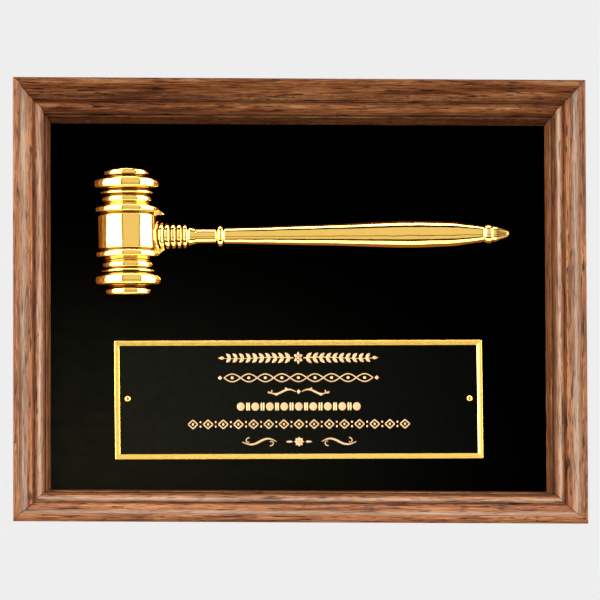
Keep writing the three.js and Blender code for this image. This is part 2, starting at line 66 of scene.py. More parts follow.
# ------------------------------------------------------------------ node helpers
class Graph:
    """A short way to write a node tree."""

    def __init__(self, tree):
        self.t = tree
        tree.nodes.clear()

    def node(self, kind, **props):
        n = self.t.nodes.new(kind)
        for k, v in props.items():
            setattr(n, k, v)
        return n

    def put(self, value, socket):
        if isinstance(value, bpy.types.NodeSocket):
            self.t.links.new(value, socket)
        elif value is not None:
            socket.default_value = value

    def math(self, op, a, b=None, c=None, clamp=False):
        n = self.node("ShaderNodeMath", operation=op, use_clamp=clamp)
        self.put(a, n.inputs[0])
        if b is not None:
            self.put(b, n.inputs[1])
        if c is not None:
            self.put(c, n.inputs[2])
        return n.outputs[0]

    def ramp(self, value, lo, hi, a=0.0, b=1.0, kind="SMOOTHSTEP"):
        n = self.node("ShaderNodeMapRange", interpolation_type=kind, clamp=True)
        self.put(value, n.inputs["Value"])
        n.inputs["From Min"].default_value = lo
        n.inputs["From Max"].default_value = hi
        n.inputs["To Min"].default_value = a
        n.inputs["To Max"].default_value = b
        return n.outputs["Result"]

    def mix(self, fac, a, b, blend="MIX"):
        n = self.node("ShaderNodeMix", data_type="RGBA", blend_type=blend)
        self.put(fac, n.inputs["Factor"])
        self.put(a, n.inputs["A"])
        self.put(b, n.inputs["B"])
        return n.outputs["Result"]

    def colours(self, fac, stops, interpolation="LINEAR"):
        n = self.node("ShaderNodeValToRGB")
        n.color_ramp.interpolation = interpolation
        e = n.color_ramp.elements
        while len(e) > 1:
            e.remove(e[-1])
        e[0].position, e[0].color = stops[0][0], (*stops[0][1], 1)
        for p, c in stops[1:]:
            x = e.new(p)
            x.color = (*c, 1)
        self.put(fac, n.inputs[0])
        return n.outputs[0]

    def coords(self, scale=(1, 1, 1), offset=(0, 0, 0)):
        tc = self.node("ShaderNodeTexCoord")
        m = self.node("ShaderNodeMapping")
        self.t.links.new(tc.outputs["Object"], m.inputs["Vector"])
        m.inputs["Scale"].default_value = scale
        m.inputs["Location"].default_value = offset
        return m.outputs[0]

    def noise(self, vector, scale=1.0, detail=3.0, rough=0.5, distortion=0.0):
        n = self.node("ShaderNodeTexNoise")
        self.put(vector, n.inputs["Vector"])
        n.inputs["Scale"].default_value = scale
        n.inputs["Detail"].default_value = detail
        n.inputs["Roughness"].default_value = rough
        n.inputs["Distortion"].default_value = distortion
        return n.outputs["Fac"] if "Fac" in n.outputs else n.outputs[0]

    def voronoi(self, vector, scale=1.0, randomness=1.0, feature="F1"):
        n = self.node("ShaderNodeTexVoronoi", feature=feature)
        self.put(vector, n.inputs["Vector"])
        n.inputs["Scale"].default_value = scale
        n.inputs["Randomness"].default_value = randomness
        return n.outputs["Distance"]

    def bump(self, height, strength, distance, normal=None):
        n = self.node("ShaderNodeBump")
        n.inputs["Strength"].default_value = strength
        n.inputs["Distance"].default_value = distance
        self.put(height, n.inputs["Height"])
        self.put(normal, n.inputs["Normal"])
        return n.outputs[0]

    def attribute(self, name):
        n = self.node("ShaderNodeAttribute", attribute_name=name)
        return n.outputs["Fac"]


def material(name):
    m = bpy.data.materials.new(name)
    m.use_nodes = True
    g = Graph(m.node_tree)
    out = g.node("ShaderNodeOutputMaterial")
    p = g.node("ShaderNodeBsdfPrincipled")
    g.t.links.new(p.outputs[0], out.inputs["Surface"])
    return m, g, p


def setp(g, p, **values):
    names = {
        "base": "Base Color",
        "metallic": "Metallic",
        "rough": "Roughness",
        "ior": "IOR",
        "spec": "Specular IOR Level",
        "coat": "Coat Weight",
        "coat_rough": "Coat Roughness",
        "coat_ior": "Coat IOR",
        "sheen": "Sheen Weight",
        "sheen_rough": "Sheen Roughness",
        "sheen_tint": "Sheen Tint",
        "normal": "Normal",
        "coat_normal": "Coat Normal",
        "aniso": "Anisotropic",
    }
    for k, v in values.items():
        if isinstance(v, tuple) and len(v) == 3:
            v = (*v, 1.0)
        g.put(v, p.inputs[names[k]])


# ------------------------------------------------------------------ materials
def walnut(name, along, seed, gain=1.0, spec=0.12, coat=0.03):
    """Lacquered walnut with the grain along X or Z: streaks, fine lines, short dark pores, painted
    shade in the grooves and across bands of each moulding, and a painted pale highlight on the coves."""
    m, g, p = material(name)
    dark, low, mid, light = (0.135, 0.046, 0.020), (0.30, 0.105, 0.040), (0.43, 0.158, 0.056), (0.64, 0.285, 0.120)
    dark, low, mid, light = ([c * gain for c in x] for x in (dark, low, mid, light))

    def stretched(a, b):
        s = (a, b, b) if along == "X" else (b, b, a)
        return g.coords(s, (seed * 1.7, seed * 3.1, seed * 0.9))

    figure = g.noise(stretched(8, 95), 1.0, 3, 0.5, 0.9)
    streak = g.noise(stretched(24, 400), 1.0, 4, 0.6, 0.5)
    lines = g.noise(stretched(70, 1050), 1.0, 2, 0.55, 0.3)
    pore_a = g.noise(stretched(150, 1350), 1.0, 1, 0.5, 0.2)
    pore_b = g.noise(stretched(64, 640), 1.0, 1, 0.5, 0.3)
    tone = g.math("ADD", g.math("ADD", g.math("MULTIPLY", figure, 0.30), g.math("MULTIPLY", streak, 0.36)), g.math("MULTIPLY", lines, 0.34))
    tone = g.ramp(tone, 0.41, 0.59, 0.0, 1.0, "LINEAR")
    col = g.colours(tone, [(0.0, dark), (0.28, low), (0.6, mid), (1.0, light)])
    pores = g.math("MAXIMUM", g.ramp(pore_a, 0.38, 0.31, 0.0, 0.8), g.ramp(pore_b, 0.385, 0.31, 0.0, 0.95))
    col = g.mix(pores, col, (0.040, 0.013, 0.006, 1))
    # painted highlight: a pale sheen mixed into the colour along the coves, streaked with the grain and broken by the
    # pores
    painted_highlight = g.math("MULTIPLY", g.attribute("pale"), g.ramp(tone, 0.0, 0.75, 0.42, 1.22, "LINEAR"))
    painted_highlight = g.math("MULTIPLY", painted_highlight, g.math("SUBTRACT", 1.0, g.math("MULTIPLY", pores, 0.45)))
    col = g.mix(painted_highlight, col, (0.82, 0.66, 0.52, 1))
    fleck = g.noise(stretched(330, 900), 1.0, 2, 0.6)
    # painted shade: dark bands across the front of each moulding and on its inner sight wall, broken up by flecks
    painted_shade = g.math("MULTIPLY", g.attribute("shade_band"), g.ramp(fleck, 0.35, 0.6, 1.25, 0.75, "LINEAR"))
    col = g.mix(painted_shade, col, (0.060, 0.018, 0.009, 1))
    # painted shade darkening each groove; the mitre ends also take it as a dark joint
    groove = g.attribute("groove")
    col = g.mix(g.math("MULTIPLY", groove, 0.94), col, (0.014, 0.005, 0.003, 1))
    rough = g.math("ADD", g.ramp(lines, 0.3, 0.7, 0.30, 0.42, "LINEAR"), g.math("ADD", g.math("MULTIPLY", pores, 0.25), g.math("MULTIPLY", g.attribute("groove"), 0.4)))
    height = g.math("SUBTRACT", g.math("MULTIPLY", lines, 0.5), g.math("MULTIPLY", pores, 1.0))
    setp(g, p, base=col, rough=rough, normal=g.bump(height, 0.5, 0.00025), spec=spec, coat=coat, coat_rough=0.12, coat_ior=1.45)
    return m


def gold_material(name, base=(0.96, 0.61, 0.14), rough=0.045):
    """Polished gold plate over a casting: faint waviness, hazy patches, fine scratches, painted shade
    darkening the grooves and a painted dark reflection on the handle's tip."""
    m, g, p = material(name)
    wave = g.noise(g.coords((80, 80, 80)), 1.0, 2, 0.45)
    fine = g.noise(g.coords((1100, 1100, 1100)), 1.0, 3, 0.6)
    haze = g.noise(g.coords((160, 160, 160), (3, 1, 2)), 1.0, 4, 0.6)
    scratch = g.noise(g.coords((260, 4200, 4200), (5, 2, 1)), 1.0, 2, 0.6)
    col = g.mix(g.ramp(haze, 0.35, 0.7, 0.0, 0.35, "LINEAR"), (*base, 1), (base[0] * 0.95, base[1] * 0.90, base[2] * 0.78, 1))
    # painted shade: the groove attribute darkens the grooves between the rings, and the handle's tip as a painted dark
    # reflection
    groove = g.attribute("groove")
    col = g.mix(groove, col, (0.075, 0.028, 0.008, 1))
    rg = g.math("ADD", g.ramp(haze, 0.3, 0.75, rough * 0.6, rough * 1.7, "LINEAR"), g.ramp(scratch, 0.6, 0.8, 0.0, 0.03, "LINEAR"))
    rg = g.math("ADD", rg, g.math("MULTIPLY", groove, 0.2))
    n1 = g.bump(wave, 0.22, 0.0011)
    n2 = g.bump(fine, 0.05, 0.00006, n1)
    setp(g, p, base=col, metallic=1.0, rough=rg, normal=n2)
    return m


def reach(g, x0, z0, stretch, far, lo=0.0):
    """1 at the point (x0, z0) of the panel, falling to lo at the distance far."""
    tc = g.node("ShaderNodeTexCoord")
    sep = g.node("ShaderNodeSeparateXYZ")
    g.t.links.new(tc.outputs["Object"], sep.inputs[0])
    a = g.math("SUBTRACT", sep.outputs[0], x0)
    b = g.math("MULTIPLY", g.math("SUBTRACT", sep.outputs[2], z0), stretch)
    d = g.math("SQRT", g.math("ADD", g.math("MULTIPLY", a, a), g.math("MULTIPLY", b, b)))
    return g.ramp(d, 0.0, far, 1.0, lo)


def velour_material(name):
    """Black short pile with a painted glare lightening it towards the lower left corner, mottled by the nap and a
    brushed pattern.
    """
    m, g, p = material(name)
    nap = g.noise(g.coords((4200, 4200, 4200)), 1.0, 2, 0.6)
    brushed = g.noise(g.coords((60, 60, 130), (1, 5, 3)), 1.0, 3, 0.55, 0.6)
    # painted glare: the pile lightens towards the lower left corner; the nap and brushed noise only mottle it
    near = reach(g, -0.168, -0.128, 1.7, 0.34)
    f = g.math("MULTIPLY", near, g.math("ADD", g.ramp(nap, 0.3, 0.7, 0.55, 1.1, "LINEAR"), g.ramp(brushed, 0.3, 0.7, -0.1, 0.15, "LINEAR")))
    col = g.mix(f, (0.00025, 0.00025, 0.0002, 1), (0.0125, 0.0125, 0.0078, 1))
    setp(g, p, base=col, rough=g.ramp(nap, 0.3, 0.7, 0.86, 1.0, "LINEAR"), spec=0.0, normal=g.bump(nap, 0.55, 0.00025))
    return m


def black_lacquer(name):
    m, g, p = material(name)
    f = g.noise(g.coords((330, 330, 330)), 1.0, 4, 0.6)
    s = g.noise(g.coords((2600, 2600, 150), (2, 2, 2)), 1.0, 2, 0.6)
    # painted glare: the lacquer lightens towards the lower left, past the plate's corner
    near = reach(g, -0.135, -0.112, 1.1, 0.29, 0.04)
    near = g.math("MULTIPLY", near, g.ramp(f, 0.3, 0.7, 0.82, 1.12, "LINEAR"))
    col = g.mix(near, (0.0006, 0.0007, 0.0005, 1), (0.0112, 0.0112, 0.0072, 1))
    rg = g.math("ADD", g.ramp(f, 0.3, 0.7, 0.20, 0.30, "LINEAR"), g.ramp(s, 0.55, 0.8, 0.0, 0.12, "LINEAR"))
    setp(g, p, base=col, rough=rg, spec=0.02, normal=g.bump(f, 0.08, 0.0002))
    return m


def brushed_gold(name, base=(0.95, 0.60, 0.13), rough=0.27):
    """The bare brass of the plate's border and engraving: brushed lightly lengthwise."""
    m, g, p = material(name)
    lines = g.noise(g.coords((120, 3200, 3200)), 1.0, 3, 0.6)
    blot = g.noise(g.coords((210, 210, 210), (4, 4, 4)), 1.0, 3, 0.6)
    col = g.mix(g.ramp(blot, 0.35, 0.7, 0.0, 0.3, "LINEAR"), (*base, 1), (base[0] * 0.9, base[1] * 0.82, base[2] * 0.6, 1))
    setp(g, p, base=col, metallic=1.0, rough=g.ramp(lines, 0.3, 0.7, rough * 0.9, rough * 1.12, "LINEAR"), normal=g.bump(lines, 0.015, 0.00004))
    return m


def zinc(name, tint=(0.44, 0.45, 0.47), rough=0.36):
    m, g, p = material(name)
    cloud = g.noise(g.coords((420, 420, 420)), 1.0, 4, 0.62)
    grain = g.noise(g.coords((3000, 3000, 600), (1, 2, 3)), 1.0, 2, 0.5)
    col = g.mix(g.ramp(cloud, 0.3, 0.7, 0.0, 0.6, "LINEAR"), (*tint, 1), (tint[0] * 0.8, tint[1] * 0.79, tint[2] * 0.74, 1))
    setp(g, p, base=col, metallic=1.0, rough=g.ramp(cloud, 0.3, 0.7, rough * 0.7, rough * 1.35, "LINEAR"), normal=g.bump(grain, 0.12, 0.00006))
    return m


def kraft(name):
    m, g, p = material(name)
    fib = g.noise(g.coords((420, 420, 1500)), 1.0, 4, 0.65, 0.8)
    blot = g.noise(g.coords((26, 26, 26)), 1.0, 3, 0.55)
    fleck = g.noise(g.coords((900, 900, 420), (3, 3, 3)), 1.0, 2, 0.5)
    col = g.colours(g.math("ADD", g.math("MULTIPLY", fib, 0.5), g.math("MULTIPLY", blot, 0.5)), [(0.34, (0.33, 0.195, 0.10)), (0.66, (0.50, 0.325, 0.18))])
    col = g.mix(g.ramp(fleck, 0.67, 0.74, 0.0, 0.6), col, (0.16, 0.085, 0.04, 1))
    setp(g, p, base=col, rough=g.ramp(fib, 0.3, 0.7, 0.75, 0.92, "LINEAR"), spec=0.25, normal=g.bump(fib, 0.25, 0.00015))
    return m


def hardboard(name):
    m, g, p = material(name)
    fib = g.noise(g.coords((700, 700, 700)), 1.0, 5, 0.7)
    blot = g.noise(g.coords((60, 60, 60)), 1.0, 3, 0.5)
    col = g.colours(g.math("ADD", g.math("MULTIPLY", fib, 0.6), g.math("MULTIPLY", blot, 0.4)), [(0.32, (0.085, 0.042, 0.02)), (0.68, (0.2, 0.11, 0.055))])
    setp(g, p, base=col, rough=0.7, spec=0.3, normal=g.bump(fib, 0.3, 0.0002))
    return m


def rubber(name):
    m, g, p = material(name)
    f = g.noise(g.coords((1500, 1500, 1500)), 1.0, 3, 0.6)
    dust = g.noise(g.coords((260, 260, 260), (1, 1, 1)), 1.0, 3, 0.6)
    col = g.colours(dust, [(0.35, (0.014, 0.014, 0.015)), (0.75, (0.04, 0.039, 0.037))])
    setp(g, p, base=col, rough=g.ramp(f, 0.3, 0.7, 0.6, 0.8, "LINEAR"), spec=0.35, normal=g.bump(f, 0.2, 0.0001))
    return m


# The gains are painted light: the top rail's copy is darker and the bottom rail's lighter, as if lit from above; left
# and right differ a little in tone.
WALNUT = {
    "left_rail": walnut("walnut_left", "Z", 1.0, 1.0),
    "right_rail": walnut("walnut_right", "Z", 5.3, 0.98),
    "top_rail": walnut("walnut_top", "X", 9.1, 0.86, 0.02, 0.0),
    "bottom_rail": walnut("walnut_bottom", "X", 13.7, 1.06),
}
GOLD = gold_material("gold_plate")
BORDER = brushed_gold("gold_border")
ENGRAVE = brushed_gold("gold_engraving", (0.70, 0.45, 0.24), 0.42)
BRASS = gold_material("brass_screw", (0.93, 0.60, 0.16), 0.12)
# Painted shade: darker brass for the screw heads' recesses.
BRASS_SHADE = brushed_gold("brass_recess", (0.30, 0.17, 0.045), 0.4)
VELOUR = velour_material("velour_black")
LACQUER = black_lacquer("black_lacquer")
ZINC = zinc("zinc_steel")
# Painted shade: darker zinc meant for recesses.
ZINC_SHADE = zinc("zinc_recess", (0.25, 0.25, 0.25), 0.45)
KRAFT = kraft("kraft_board")
BOARD = hardboard("hardboard")
RUBBER = rubber("rubber_bumper")


# ------------------------------------------------------------------ mesh helpers
def make(name, verts, faces, mats, body="root", replaces=(), smooth=40.0, face_mats=None, attrs=None):
    """A mesh piece in millimetres: [x, v, z] with v the height above the back face."""
    me = bpy.data.meshes.new(name)
    me.from_pydata([(x * MM, -v * MM, z * MM) for x, v, z in verts], [], faces)
    me.validate()
    mats = mats if isinstance(mats, (list, tuple)) else [mats]
    for m in mats:
        me.materials.append(m)
    if face_mats:
        for poly, k in zip(me.polygons, face_mats):
            poly.material_index = k
    for key, values in (attrs or {}).items():
        a = me.attributes.new(key, "FLOAT", "POINT")
        a.data.foreach_set("value", values)
    bm = bmesh.new()
    bm.from_mesh(me)
    bmesh.ops.recalc_face_normals(bm, faces=bm.faces)
    if bm.calc_volume(signed=True) < 0:
        bmesh.ops.reverse_faces(bm, faces=bm.faces)
    limit = math.radians(smooth)
    for f in bm.faces:
        f.smooth = True
    for e in bm.edges:
        if len(e.link_faces) == 2 and e.calc_face_angle(0.0) > limit:
            e.smooth = False
    bm.to_mesh(me)
    bm.free()
    ob = bpy.data.objects.new(name, me)
    scene.collection.objects.link(ob)
    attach(ob, body)
    if replaces:
        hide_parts(*replaces)
    return ob


def rounded(points, reach=0.9, steps=4, closed=False, sharp=()):
    """The polyline with each corner turned into a short curve."""
    n = len(points)
    out, tags = [], []
    for i, p in enumerate(points):
        if (not closed and i in (0, n - 1)) or i in sharp:
            out.append(tuple(p))
            tags.append(i)
            continue
        a, b = points[i - 1], points[(i + 1) % n]
        da, db = math.dist(p, a), math.dist(p, b)
        ka, kb = min(0.5, reach / da), min(0.5, reach / db)
        pa = [p[k] + (a[k] - p[k]) * ka for k in range(2)]
        pb = [p[k] + (b[k] - p[k]) * kb for k in range(2)]
        for s in range(steps + 1):
            t = s / steps
            q = tuple((1 - t) ** 2 * pa[k] + 2 * t * (1 - t) * p[k] + t * t * pb[k] for k in range(2))
            if out and math.dist(out[-1], q) < 1e-6:
                continue
            out.append(q)
            tags.append(i)
    return out, tags


# ------------------------------------------------------------------ rails
W, H = 381.0, 298.8
BACK = [(6.8, 1.6), (19.5, 1.6), (19.5, 9.6), (25.9, 9.6)]
FRONT = [
    (23.5, 19.8), (23.1, 20.5), (22.3, 21.0), (21.6, 21.0), (21.2, 21.5), (20.9, 23.2), (20.9, 25.0),
    (20.3, 27.2), (19.2, 28.8), (17.8, 29.7), (16.4, 29.8), (15.4, 29.1), (14.9, 28.2), (14.3, 27.9),
    (13.7, 28.2), (13.4, 29.5), (12.4, 29.8), (10.6, 30.6), (8.8, 31.9), (7.2, 33.6), (5.9, 35.7),
    (5.0, 38.0), (4.4, 39.9), (3.8, 40.65), (3.0, 41.0), (1.9, 40.8), (0.9, 40.0), (0.25, 38.8),
    (0.0, 37.6), (0.0, 34.6),
]
# Grooves darkened by painted shade: position across and up the profile, and reach.
SHADED_GROOVES = [(14.3, 27.9, 0.55), (21.9, 21.0, 1.15), (13.3, 29.4, 0.4)]
# Where a painted pale highlight lies along the coves and painted shade darkens bands across each
# moulding: distance in from the outer edge, width and strength.
PAINTED_HIGHLIGHTS = {
    "left_rail": [(6.8, 2.6, 0.64), (17.9, 1.8, 0.50)],
    "right_rail": [(7.0, 2.6, 0.66), (17.9, 1.6, 0.46)],
    "bottom_rail": [(6.3, 2.0, 0.56), (16.3, 1.4, 0.52)],
    "top_rail": [(21.9, 0.7, 0.10)],
}
SHADE_BANDS = {
    "left_rail": [(22.1, 0.6, 0.50)],
    "right_rail": [(15.0, 1.3, 0.22), (22.0, 0.5, 0.40)],
    "bottom_rail": [(19.6, 1.0, 0.50)],
    "top_rail": [(0.9, 2.6, 0.44), (11.5, 2.5, 0.60), (15.7, 1.7, 0.42), (22.9, 0.8, 0.20)],
}
# Painted shade on each rail's inner sight wall.
SIGHT_SHADE = {"left_rail": 0.36, "right_rail": 0.0, "bottom_rail": 0.92, "top_rail": 0.76}


def accent(table, u):
    total_ = 0.0
    for centre, width, strength in table:
        total_ += strength * math.exp(-(((u - centre) / width) ** 2) * 1.4)
    return min(1.0, total_)


def rail(name, horizontal, sign):
    ring, _ = rounded(BACK + FRONT, 1.2, 5, closed=True, sharp=(0, 1, 2, 3))
    half = (W if horizontal else H) / 2
    n = len(ring)
    cu, cv = 12.0, 20.0
    stations = []
    for end in (-1, 1):
        for inset, pull in ((0.05, 0.16), (0.20, 0.045), (0.42, 0.0)):
            stations.append((end, inset, pull))
    stations = stations[:3] + [stations[5], stations[4], stations[3]]
    verts, groove, pale, shade_band = [], [], [], []
    for end, inset, pull in stations:
        for i, (u, v) in enumerate(ring):
            a, b = ring[i - 1], ring[(i + 1) % n]
            tx, ty = b[0] - a[0], b[1] - a[1]
            ln = math.hypot(tx, ty) or 1.0
            # the outline runs so that its outside is at (-ty, tx) or (ty, -tx)
            nx, ny = -ty / ln, tx / ln
            if nx * (u - cu) + ny * (v - cv) < 0:
                nx, ny = -nx, -ny
            uu = max(0.0, u - nx * pull)
            vv = v - ny * pull
            s = end * (half - uu - inset)
            across = sign * ((H if horizontal else W) / 2 - uu)
            verts.append((s, vv, across) if horizontal else (across, vv, s))
            # painted shade around the grooves, and a dark joint at the mitre ends
            g = 0.0
            for gu, gv, r in SHADED_GROOVES:
                g = max(g, max(0.0, 1 - (math.dist((u, v), (gu, gv)) / r)) ** 0.7)
            groove.append(max(g, 1.0 if pull > 0.1 else (0.45 if pull > 0.03 else 0.0)))
            front = v > 20.4
            # painted highlight on the front of the moulding, away from the mitre ends
            pale.append(accent(PAINTED_HIGHLIGHTS[name], u) if front and pull < 0.1 else 0.0)
            # painted shade: the bands on the front, and the sight-wall value on the inner wall
            shade_band.append(accent(SHADE_BANDS[name], u) if front else (SIGHT_SHADE[name] if u > 19.6 and v > 9 else 0.0))
    faces = []
    for k in range(len(stations) - 1):
        for i in range(n):
            j = (i + 1) % n
            faces.append((k * n + i, k * n + j, (k + 1) * n + j, (k + 1) * n + i))
    faces.append(tuple(range(n)))
    faces.append(tuple((len(stations) - 1) * n + i for i in range(n)))
    return make("wood_" + name, verts, faces, WALNUT[name], replaces=[name], smooth=48, attrs={"groove": groove, "pale": pale, "shade_band": shade_band})


rail("top_rail", True, 1)
rail("bottom_rail", True, -1)
rail("left_rail", False, -1)
rail("right_rail", False, 1)

# ------------------------------------------------------------------ velour over the board


def velour():
    xo, zo = 170.5, 129.4
    top, low, t = 9.5, 5.6, 0.9
    nx, nz = 96, 74
    verts, faces = [], []

    def height(x, z):
        edge = min(xo - abs(x), zo - abs(z))
        drop = 0.0 if edge > 1.2 else (1.2 - edge) ** 2 / 2.4
        return top - drop - 0.025 * (1 + math.sin(x * 0.11 + 1.3 * math.sin(z * 0.07)) * math.cos(z * 0.13))

    def grid(inset, h):
        base = len(verts)
        xs = [-(xo - inset) + 2 * (xo - inset) * i / nx for i in range(nx + 1)]
        zs = [-(zo - inset) + 2 * (zo - inset) * j / nz for j in range(nz + 1)]
        # crowd the outer two lines near the edge for the fold's curve
        for arr, lim in ((xs, xo - inset), (zs, zo - inset)):
            arr[1], arr[-2] = -lim + 0.45, lim - 0.45
            arr[2], arr[-3] = -lim + 1.3, lim - 1.3
        for z in zs:
            for x in xs:
                verts.append((x, h(x, z), z))
        return base

    a = grid(0.0, height)
    b = grid(t, lambda x, z: top - t - 0.05)

    def idx(base, i, j):
        return base + j * (nx + 1) + i

    for base in (a, b):
        for j in range(nz):
            for i in range(nx):
                faces.append((idx(base, i, j), idx(base, i + 1, j), idx(base, i + 1, j + 1), idx(base, i, j + 1)))
    edge = [(i, 0) for i in range(nx)] + [(nx, j) for j in range(nz)] + [(i, nz) for i in range(nx, 0, -1)] + [(0, j) for j in range(nz, 0, -1)]
    rows = []
    for base, v in ((a, low), (b, low)):
        start = len(verts)
        for i, j in edge:
            x, _, z = verts[idx(base, i, j)]
            verts.append((x, v, z))
        rows.append(start)
    n = len(edge)
    for k in range(n):
        q = (k + 1) % n
        ia, ja = edge[k], edge[q]
        faces.append((idx(a, *ia), idx(a, *ja), rows[0] + q, rows[0] + k))
        faces.append((idx(b, *ia), idx(b, *ja), rows[1] + q, rows[1] + k))
        faces.append((rows[0] + k, rows[0] + q, rows[1] + q, rows[1] + k))
    ob = make("velour_sheet", verts, faces, VELOUR, replaces=["velour_cover"], smooth=60)
    return ob


velour()

# ------------------------------------------------------------------ gavel
PANEL_V, RELIEF = 9.5, 0.65
GX, GZ = -113.6, 47.1
HEAD_RISE = 2.4
TILT = math.radians(-0.75)
HEAD_HALF = [
    (19.15, 0), (19.15, 11.3), (18.5, 11.8), (18.5, 12.6), (19.9, 13.1), (20.7, 14), (20.9, 15.3), (20.7, 16.6),
    (19.7, 17.5), (15.2, 17.8), (15.6, 18.9), (15, 20.1), (16.1, 20.7), (16.5, 22.2), (16.1, 23.7), (15, 24.5),
    (15, 25.4), (17.2, 25.7), (17.6, 26.5), (17.2, 27.3), (16, 27.7), (16, 28.6), (19.4, 29.0), (20.9, 30.0),
    (21.4, 31.5), (21.5, 33.2), (21.2, 34.7), (20.4, 35.9), (19.0, 36.7), (14.6, 36.9), (13.3, 37.2), (13.4, 37.7),
    (14.3, 38.2), (14.8, 39.5), (14.6, 41.1), (13.8, 42.3), (12.4, 43.1), (0, 43.3),
]
HANDLE = [(0, 14.5), (9.3, 14.5), (9.3, 19.3), (9.9, 19.9), (9.9, 20.8), (9.2, 21.3)]
for i in range(5):
    r, t = 8.9 - 0.12 * i, 21.6 + 3.72 * i
    HANDLE += [(r - 1.2, t), (r - 0.15, t + 0.8), (r, t + 1.85), (r - 0.15, t + 2.9)]
HANDLE += [
    (7, 40.3), (6.4, 41), (5.5, 45), (4.9, 46.2), (4.8, 59), (5.8, 59.4), (7.1, 60.3), (7.5, 61.8), (7.1, 63.3),
    (5.8, 64.2), (5.4, 65), (5.6, 75), (6.15, 95), (6.8, 115), (7.5, 141), (8.4, 161), (9.2, 181), (9.25, 192),
    (9.05, 201), (8.65, 210), (8.2, 219), (7.1, 225), (6.3, 231), (5.4, 236.8), (5.5, 237.6), (6.3, 238.6),
    (6.6, 240.5), (6.3, 242.4), (5.5, 243.4), (5.4, 244.5), (5.1, 246.4), (4.1, 249.2), (3.2, 251.6), (2.4, 253.6), (1.3, 254.8), (0, 255),
]


def tilted(x, z):
    """From the gavel's own plane to the plaque."""
    c, s = math.cos(TILT), math.sin(TILT)
    return GX + c * x + s * z, GZ - s * x + c * z


SLOPE = math.radians(45)
CROWN = (1 - math.cos(SLOPE)) / math.sin(SLOPE)
SKIRT = RELIEF - CROWN


def section(sides):
    """The casting's cross-section at unit half-width: a short upright skirt and a low crown
    that meets it at 45 degrees."""
    out = [(1.0, 0.0)]
    for k in range(sides + 1):
        a = SLOPE * (1 - 2 * k / sides)
        out.append((math.sin(a) / math.sin(SLOPE), SKIRT + (math.cos(a) - math.cos(SLOPE)) / math.sin(SLOPE)))
    out.append((-1.0, 0.0))
    return out


def half_round(name, profile, place, sides, material_, node, bend=None, base=0.1, reach=0.8, steps=4):
    pts, _ = rounded(profile, reach, steps)
    depths = []
    for r, d in pts:
        left = max([q for q, e in pts if d - 1.7 < e < d] or [r]) - r
        right = max([q for q, e in pts if d < e < d + 1.7] or [r]) - r
        depths.append(min(1.0, max(0.0, (min(left, right) - 0.03) / 0.4)) ** 0.65)
    pts = [(r - 0.45 * k if r > 2.0 else r, d) for (r, d), k in zip(pts, depths)]
    verts, faces = [], []
    rows = []
    for r, d in pts:
        start = len(verts)
        if r < 1e-6:
            x, z = place(d, 0.0)
            verts.append((x, PANEL_V + base, z))
            rows.append((start, 1))
            continue
        for lateral, height in section(sides):
            dd = bend(d, r, height) if bend else d
            x, z = place(dd, r * lateral)
            verts.append((x, PANEL_V + max(base, r * height), z))
        rows.append((start, sides + 3))
    for (a, na), (b, nb) in zip(rows, rows[1:]):
        if na == 1 and nb == 1:
            continue
        last = sides + 2
        if na == 1:
            faces += [(a, b + k, b + k + 1) for k in range(last)]
            faces.append((a, b + last, b))
        elif nb == 1:
            faces += [(a + k, a + k + 1, b) for k in range(last)]
            faces.append((a, b, a + last))
        else:
            faces += [(a + k, a + k + 1, b + k + 1, b + k) for k in range(last)]
            faces.append((a + last, a, b, b + last))
    grooves = []
    for deep, (r, d), (_, count) in zip(depths, pts, rows):
        # painted dark reflection: the handle's tip is darkened towards brown
        tip_reflection = 0.78 * min(1.0, max(0.0, (d - 245.4) / 0.8)) if name == "gavel_handle_cast" else 0.0
        grooves += [max(deep * 0.97, tip_reflection)] * count
    return make(name, verts, faces, material_, replaces=[node] if node else (), smooth=40, attrs={"groove": grooves})


head_profile = [(r, -d) for r, d in reversed(HEAD_HALF[1:])] + HEAD_HALF
half_round("gavel_head_cast", head_profile, lambda d, s: tilted(s, HEAD_RISE + d), 96, GOLD, "gavel_head")


def saddle(t, r, height):
    """The first rings lean back over the head's drum, so their middles sit nearer to it."""
    k = min(1.0, max(0.0, (36.0 - t) / 15.0))
    crown = max(0.0, (height - SKIRT) / CROWN)
    return t - k * 2.6 * crown * min(1.0, (r / 8.9) ** 2)


half_round("gavel_handle_cast", HANDLE, lambda d, s: tilted(d, s), 72, GOLD, "gavel_handle", bend=saddle, reach=1.0, steps=3)


def rib(name, sign):
    """The low web between the head's collar and the handle."""
    outline = [(16.2, 10.2), (19.6, 11.0), (24.8, 11.3), (24.95, 11.9), (21.4, 15.2), (17, 15.9), (15.6, 15.9)]
    pts, _ = rounded([(t, z * sign) for t, z in outline], 0.7, 3, closed=True)
    n = len(pts)
    verts, faces = [], []
    ct = sum(p[0] for p in pts) / n
    cz = sum(p[1] for p in pts) / n
    for v, k in ((9.6, 1.0), (12.4, 1.0), (13.2, 0.93), (13.6, 0.8)):
        for t, z in pts:
            x, zz = tilted(ct + (t - ct) * k, HEAD_RISE + cz + (z - cz) * k)
            verts.append((x, v, zz))
    for a in range(3):
        for i in range(n):
            j = (i + 1) % n
            faces.append((a * n + i, a * n + j, (a + 1) * n + j, (a + 1) * n + i))
    faces.append(tuple(range(n)))
    faces.append(tuple(3 * n + i for i in range(n)))
    make(name, verts, faces, GOLD, smooth=50)


rib("gavel_rib_upper", 1)
rib("gavel_rib_lower", -1)

# ------------------------------------------------------------------ name plate
PX, PZ, PW, PH = 0.1, -62.2, 244.6, 80.6
P0, P1 = 9.6, 10.6


